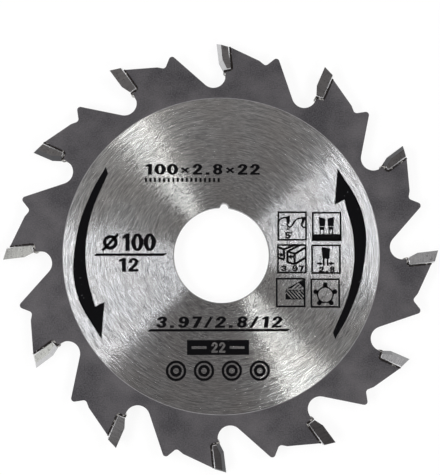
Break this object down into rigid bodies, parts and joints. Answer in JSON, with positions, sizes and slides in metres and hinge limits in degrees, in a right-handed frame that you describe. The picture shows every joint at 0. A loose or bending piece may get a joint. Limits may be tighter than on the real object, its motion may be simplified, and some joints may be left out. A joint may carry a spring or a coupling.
{
  "type": "biscuit joiner blade",
  "caption": "Small carbide-tipped grooving saw blade with a plain bore, a ground disc and chip-limiting shoulders behind open gullets.",
  "frame": {"origin": "centre of the bore, halfway between the two faces of the plate", "axes": "+Z along the bore axis, out of the marked face; the blade lies flat. The teeth cut counterclockwise seen from +Z, and tooth 01 points 1.2 degrees from +X towards +Y."},
  "size_m": [0.1, 0.1, 0.004],
  "materials": {
    "blade_steel": "dark matte rim, circular-brushed ground disc in the middle",
    "tungsten_carbide": "sintered sides, finely ground rake and top faces",
    "silver_solder": "dull, as flowed"
  },
  "bodies": {
    "root": {"blade_body": "blade_steel", "carbide_tip_01": "tungsten_carbide", "carbide_tip_02": "tungsten_carbide", "carbide_tip_03": "tungsten_carbide", "carbide_tip_04": "tungsten_carbide", "carbide_tip_05": "tungsten_carbide", "carbide_tip_06": "tungsten_carbide", "carbide_tip_07": "tungsten_carbide", "carbide_tip_08": "tungsten_carbide", "carbide_tip_09": "tungsten_carbide", "carbide_tip_10": "tungsten_carbide", "carbide_tip_11": "tungsten_carbide", "carbide_tip_12": "tungsten_carbide", "braze_seam_01": "silver_solder", "braze_seam_02": "silver_solder", "braze_seam_03": "silver_solder", "braze_seam_04": "silver_solder", "braze_seam_05": "silver_solder", "braze_seam_06": "silver_solder", "braze_seam_07": "silver_solder", "braze_seam_08": "silver_solder", "braze_seam_09": "silver_solder", "braze_seam_10": "silver_solder", "braze_seam_11": "silver_solder", "braze_seam_12": "silver_solder"}
  },
  "joints": []
}
